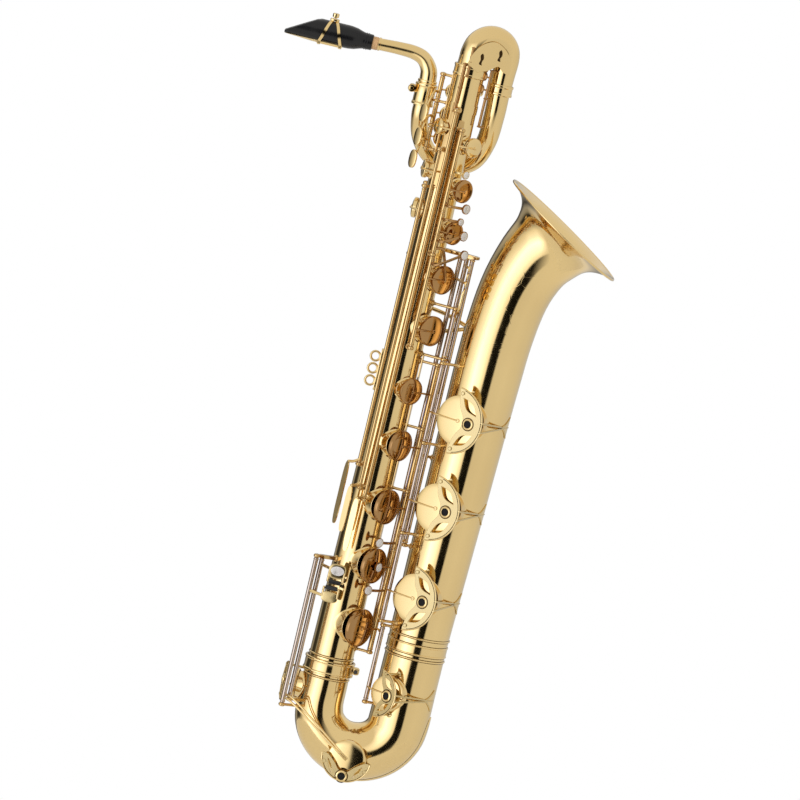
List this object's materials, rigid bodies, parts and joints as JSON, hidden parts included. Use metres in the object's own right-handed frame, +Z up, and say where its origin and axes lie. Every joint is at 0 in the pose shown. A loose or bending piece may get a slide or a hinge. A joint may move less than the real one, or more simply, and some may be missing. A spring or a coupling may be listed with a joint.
{
  "type": "baritone saxophone",
  "caption": "Low-A baritone saxophone: conical brass tubes, looped neck pipe, mouthpiece, flared bell, and keys that turn on posts to open and close its tone holes.",
  "frame": {"origin": "centre of the middle strap ring's eye", "axes": "+Z up along the body tube, +X from the body tube towards the bell, -Y towards the side that shows the key cups"},
  "size_m": [0.5257, 0.197, 1.0768],
  "materials": {
    "lacquered_brass": "polished lacquer",
    "steel": "polished",
    "ebonite": "polished hard rubber",
    "cork": "greased cork",
    "cane": "shaved cane",
    "roller_black": "polished"
  },
  "bodies": {
    "frame": {"body_tube": "lacquered_brass", "bow": "lacquered_brass", "bell": "lacquered_brass", "upper_bow": "lacquered_brass", "pigtail_loop": "lacquered_brass", "lower_stack_rod": "steel", "upper_stack_rod": "steel", "low_a_guard": "lacquered_brass", "low_b_flat_guard": "lacquered_brass", "low_b_guard": "lacquered_brass", "low_c_sharp_guard": "lacquered_brass", "low_c_guard": "lacquered_brass", "low_e_flat_guard": "lacquered_brass", "bow_clamp_ring": "lacquered_brass", "neck_receiver": "lacquered_brass", "bell_brace": "lacquered_brass", "bow_guard_plate": "lacquered_brass", "strap_ring": "lacquered_brass", "thumb_rest": "ebonite", "thumb_hook": "lacquered_brass"},
    "d_key": {"d_key": "lacquered_brass"},
    "e_key": {"e_key": "lacquered_brass"},
    "f_key": {"f_key": "lacquered_brass"},
    "f_sharp_key": {"f_sharp_key": "lacquered_brass"},
    "g_sharp_key": {"g_sharp_key": "lacquered_brass"},
    "g_sharp_lever": {"g_sharp_lever": "lacquered_brass"},
    "g_key": {"g_key": "lacquered_brass"},
    "a_key": {"a_key": "lacquered_brass"},
    "bis_key": {"bis_key": "lacquered_brass"},
    "b_key": {"b_key": "lacquered_brass"},
    "c_key": {"c_key": "lacquered_brass"},
    "low_b_key": {"low_b_key": "lacquered_brass"},
    "low_b_flat_key": {"low_b_flat_key": "lacquered_brass"},
    "low_a_key": {"low_a_key": "lacquered_brass"},
    "low_c_sharp_key": {"low_c_sharp_key": "lacquered_brass"},
    "table_c_sharp_lever": {"table_c_sharp_lever": "lacquered_brass"},
    "table_b_lever": {"table_b_lever": "lacquered_brass"},
    "table_b_flat_lever": {"table_b_flat_lever": "lacquered_brass"},
    "low_a_lever": {"low_a_lever": "lacquered_brass"},
    "low_c_key": {"low_c_key": "lacquered_brass"},
    "low_e_flat_key": {"low_e_flat_key": "lacquered_brass"},
    "side_b_flat_key": {"side_b_flat_key": "lacquered_brass"},
    "side_c_key": {"side_c_key": "lacquered_brass"},
    "high_e_key": {"high_e_key": "lacquered_brass"},
    "palm_d_key": {"palm_d_key": "lacquered_brass"},
    "palm_e_flat_key": {"palm_e_flat_key": "lacquered_brass"},
    "palm_f_key": {"palm_f_key": "lacquered_brass"},
    "octave_thumb_key": {"octave_thumb_key": "lacquered_brass"},
    "octave_vent_key": {"octave_vent_key": "lacquered_brass"},
    "bow_clamp_screw": {"bow_clamp_screw": "steel"},
    "neck_clamp_screw": {"neck_clamp_screw": "lacquered_brass"},
    "water_key": {"water_key": "lacquered_brass"},
    "neck": {"neck": "lacquered_brass", "neck_cork": "cork"},
    "mouthpiece": {"mouthpiece": "ebonite", "reed": "cane", "ligature": "lacquered_brass"},
    "ligature_screw": {"ligature_screw": "lacquered_brass"},
    "c_roller": {"c_roller": "roller_black"},
    "e_flat_roller": {"e_flat_roller": "roller_black"}
  },
  "joints": [
    {"name": "d_key_hinge", "type": "hinge", "parent": "frame", "child": "d_key", "pos_m": [0.088, -0.011, -0.34105], "axis": [0, 0, -1], "range_deg": [0, 12.35], "stiffness_Nm_per_rad": 0.05, "springref_deg": -20.05},
    {"name": "e_key_hinge", "type": "hinge", "parent": "frame", "child": "e_key", "pos_m": [0.088, -0.011, -0.26785], "axis": [0, 0, -1], "range_deg": [0, 12.27], "stiffness_Nm_per_rad": 0.05, "springref_deg": -20.05},
    {"name": "f_key_hinge", "type": "hinge", "parent": "frame", "child": "f_key", "pos_m": [0.088, -0.011, -0.2008], "axis": [0, 0, -1], "range_deg": [0, 12.19], "stiffness_Nm_per_rad": 0.05, "springref_deg": -20.05},
    {"name": "f_sharp_key_hinge", "type": "hinge", "parent": "frame", "child": "f_sharp_key", "pos_m": [0.088, -0.011, -0.1118], "axis": [0, 0, -1], "range_deg": [0, 10.36], "stiffness_Nm_per_rad": 0.05, "springref_deg": -20.05},
    {"name": "g_sharp_key_hinge", "type": "hinge", "parent": "frame", "child": "g_sharp_key", "pos_m": [0.088, -0.011, -0.0203], "axis": [0, 0, 1], "range_deg": [0, 8.7], "stiffness_Nm_per_rad": 0.05, "springref_deg": -20.05},
    {"name": "g_sharp_lever_hinge", "type": "hinge", "parent": "frame", "child": "g_sharp_lever", "pos_m": [0.094, -0.014, 0.0725], "axis": [0, 0, -1], "range_deg": [0, 11.46], "stiffness_Nm_per_rad": 0.05, "springref_deg": -20.05},
    {"name": "g_key_hinge", "type": "hinge", "parent": "frame", "child": "g_key", "pos_m": [0.045, -0.038, 0.11115], "axis": [0, 0, 1], "range_deg": [0, 12.92], "stiffness_Nm_per_rad": 0.05, "springref_deg": -20.05},
    {"name": "a_key_hinge", "type": "hinge", "parent": "frame", "child": "a_key", "pos_m": [0.045, -0.038, 0.1936], "axis": [0, 0, 1], "range_deg": [0, 10.79], "stiffness_Nm_per_rad": 0.05, "springref_deg": -20.05},
    {"name": "bis_key_hinge", "type": "hinge", "parent": "frame", "child": "bis_key", "pos_m": [0.045, -0.038, 0.22265], "axis": [0, 0, 1], "range_deg": [0, 10.79], "stiffness_Nm_per_rad": 0.05, "springref_deg": -20.05},
    {"name": "b_key_hinge", "type": "hinge", "parent": "frame", "child": "b_key", "pos_m": [0.045, -0.038, 0.26465], "axis": [0, 0, 1], "range_deg": [0, 10.79], "stiffness_Nm_per_rad": 0.05, "springref_deg": -20.05},
    {"name": "c_key_hinge", "type": "hinge", "parent": "frame", "child": "c_key", "pos_m": [0.045, -0.038, 0.3217], "axis": [0, 0, 1], "range_deg": [0, 10.78], "stiffness_Nm_per_rad": 0.05, "springref_deg": -20.05},
    {"name": "low_b_key_hinge", "type": "hinge", "parent": "frame", "child": "low_b_key", "pos_m": [0.094, -0.033, -0.276], "axis": [0, 0, 1], "range_deg": [0, 11.66], "stiffness_Nm_per_rad": 0.05, "springref_deg": -20.05},
    {"name": "low_b_flat_key_hinge", "type": "hinge", "parent": "frame", "child": "low_b_flat_key", "pos_m": [0.094, -0.033, -0.147], "axis": [0, 0, 1], "range_deg": [0, 11.1], "stiffness_Nm_per_rad": 0.05, "springref_deg": -20.05},
    {"name": "low_a_key_hinge", "type": "hinge", "parent": "frame", "child": "low_a_key", "pos_m": [0.094, -0.033, -0.0245], "axis": [0, 0, 1], "range_deg": [0, 10.6], "stiffness_Nm_per_rad": 0.05, "springref_deg": -20.05},
    {"name": "low_c_sharp_key_hinge", "type": "hinge", "parent": "frame", "child": "low_c_sharp_key", "pos_m": [0.098, -0.022, -0.403], "axis": [0, 0, -1], "range_deg": [0, 11.49], "stiffness_Nm_per_rad": 0.05, "springref_deg": -20.05},
    {"name": "table_c_sharp_lever_hinge", "type": "hinge", "parent": "frame", "child": "table_c_sharp_lever", "pos_m": [0.084, 0.006, -0.0905], "axis": [0, 0, -1], "range_deg": [0, 11.46], "stiffness_Nm_per_rad": 0.05, "springref_deg": -20.05},
    {"name": "table_b_lever_hinge", "type": "hinge", "parent": "frame", "child": "table_b_lever", "pos_m": [0.101, -0.007, -0.024], "axis": [0, 0, -1], "range_deg": [0, 13.75], "stiffness_Nm_per_rad": 0.05, "springref_deg": -20.05},
    {"name": "table_b_flat_lever_hinge", "type": "hinge", "parent": "frame", "child": "table_b_flat_lever", "pos_m": [0.093, 0.002, 0.04], "axis": [0, 0, -1], "range_deg": [0, 11.46], "stiffness_Nm_per_rad": 0.05, "springref_deg": -20.05},
    {"name": "low_a_lever_hinge", "type": "hinge", "parent": "frame", "child": "low_a_lever", "pos_m": [0.057, 0.031, 0.064], "axis": [0, 0, 1], "range_deg": [0, 14.32], "stiffness_Nm_per_rad": 0.05, "springref_deg": -20.05},
    {"name": "low_c_key_hinge", "type": "hinge", "parent": "frame", "child": "low_c_key", "pos_m": [-0.015, -0.031, -0.38025], "axis": [0, 0, 1], "range_deg": [0, 5.23], "stiffness_Nm_per_rad": 0.05, "springref_deg": -20.05},
    {"name": "low_e_flat_key_hinge", "type": "hinge", "parent": "frame", "child": "low_e_flat_key", "pos_m": [-0.007, -0.025, -0.376], "axis": [0, 0, 1], "range_deg": [0, 11.84], "stiffness_Nm_per_rad": 0.05, "springref_deg": -20.05},
    {"name": "side_b_flat_key_hinge", "type": "hinge", "parent": "frame", "child": "side_b_flat_key", "pos_m": [0.012, -0.026, 0.0675], "axis": [0, 0, 1], "range_deg": [0, 8], "stiffness_Nm_per_rad": 0.05, "springref_deg": -20.05},
    {"name": "side_c_key_hinge", "type": "hinge", "parent": "frame", "child": "side_c_key", "pos_m": [0.021, -0.0325, 0.0795], "axis": [0, 0, 1], "range_deg": [0, 7.67], "stiffness_Nm_per_rad": 0.05, "springref_deg": -20.05},
    {"name": "high_e_key_hinge", "type": "hinge", "parent": "frame", "child": "high_e_key", "pos_m": [0.031, -0.036, 0.101], "axis": [0, 0, 1], "range_deg": [0, 8.79], "stiffness_Nm_per_rad": 0.05, "springref_deg": -20.05},
    {"name": "palm_d_key_hinge", "type": "hinge", "parent": "frame", "child": "palm_d_key", "pos_m": [0.0014, 0.005, 0.3335], "axis": [0, 0, 1], "range_deg": [0, 11.91], "stiffness_Nm_per_rad": 0.05, "springref_deg": -20.05},
    {"name": "palm_e_flat_key_hinge", "type": "hinge", "parent": "frame", "child": "palm_e_flat_key", "pos_m": [0.0014, 0.005, 0.3675], "axis": [0, 0, 1], "range_deg": [0, 11.91], "stiffness_Nm_per_rad": 0.05, "springref_deg": -20.05},
    {"name": "palm_f_key_hinge", "type": "hinge", "parent": "frame", "child": "palm_f_key", "pos_m": [0.0014, 0.005, 0.404], "axis": [0, 0, 1], "range_deg": [0, 11.91], "stiffness_Nm_per_rad": 0.05, "springref_deg": -20.05},
    {"name": "octave_thumb_key_hinge", "type": "hinge", "parent": "frame", "child": "octave_thumb_key", "pos_m": [0.013, 0.027, 0.217], "axis": [0, 0, -1], "range_deg": [0, 6.88], "stiffness_Nm_per_rad": 0.05, "springref_deg": -20.05},
    {"name": "octave_vent_key_hinge", "type": "hinge", "parent": "frame", "child": "octave_vent_key", "pos_m": [0.033, 0.037, 0.3875], "axis": [0, 0, 1], "range_deg": [0, 6.4], "stiffness_Nm_per_rad": 0.05, "springref_deg": -20.05},
    {"name": "bow_clamp_screw_hinge", "type": "hinge", "parent": "frame", "child": "bow_clamp_screw", "pos_m": [0.0755, -0.002, -0.424], "axis": [0, 1, 0], "continuous": true},
    {"name": "neck_clamp_screw_hinge", "type": "hinge", "parent": "frame", "child": "neck_clamp_screw", "pos_m": [-0.037, 0.009, 0.394], "axis": [0, 1, 0], "continuous": true},
    {"name": "water_key_hinge", "type": "hinge", "parent": "frame", "child": "water_key", "pos_m": [0.037, 0.046, 0.28], "axis": [0, -1, 0], "range_deg": [0, 17.19], "stiffness_Nm_per_rad": 0.05, "springref_deg": -20.05},
    {"name": "neck_hinge", "type": "hinge", "parent": "frame", "child": "neck", "pos_m": [-0.018, 0.016, 0.393], "axis": [0, 0, 1], "range_deg": [-20.05, 20.05]},
    {"name": "mouthpiece_slide", "type": "slide", "parent": "neck", "child": "mouthpiece", "axis": [-1, 0, 0], "range_m": [0, 0.006]},
    {"name": "ligature_screw_hinge", "type": "hinge", "parent": "mouthpiece", "child": "ligature_screw", "pos_m": [-0.163, 0.016, 0.464], "axis": [0, 0, 1], "continuous": true},
    {"name": "c_roller_hinge", "type": "hinge", "parent": "low_c_key", "child": "c_roller", "pos_m": [0.01532, -0.05085, -0.309], "axis": [0.9958, -0.0912, 0], "continuous": true},
    {"name": "e_flat_roller_hinge", "type": "hinge", "parent": "low_e_flat_key", "child": "e_flat_roller", "pos_m": [0.018, -0.048, -0.3005], "axis": [1, 0, 0], "continuous": true}
  ],
  "couplings": [
    {"joint": "g_sharp_key_hinge", "follows": "g_sharp_lever_hinge", "ratio": 0.7584},
    {"joint": "low_b_key_hinge", "follows": "table_b_lever_hinge", "ratio": 0.8471},
    {"joint": "low_b_flat_key_hinge", "follows": "table_b_flat_lever_hinge", "ratio": 0.9676},
    {"joint": "low_c_sharp_key_hinge", "follows": "table_c_sharp_lever_hinge", "ratio": 1.0016},
    {"joint": "low_a_key_hinge", "follows": "low_a_lever_hinge", "ratio": 0.7394},
    {"joint": "octave_vent_key_hinge", "follows": "octave_thumb_key_hinge", "ratio": 0.9293},
    {"joint": "f_sharp_key_hinge", "follows": "f_key_hinge", "ratio": 0.849}
  ]
}
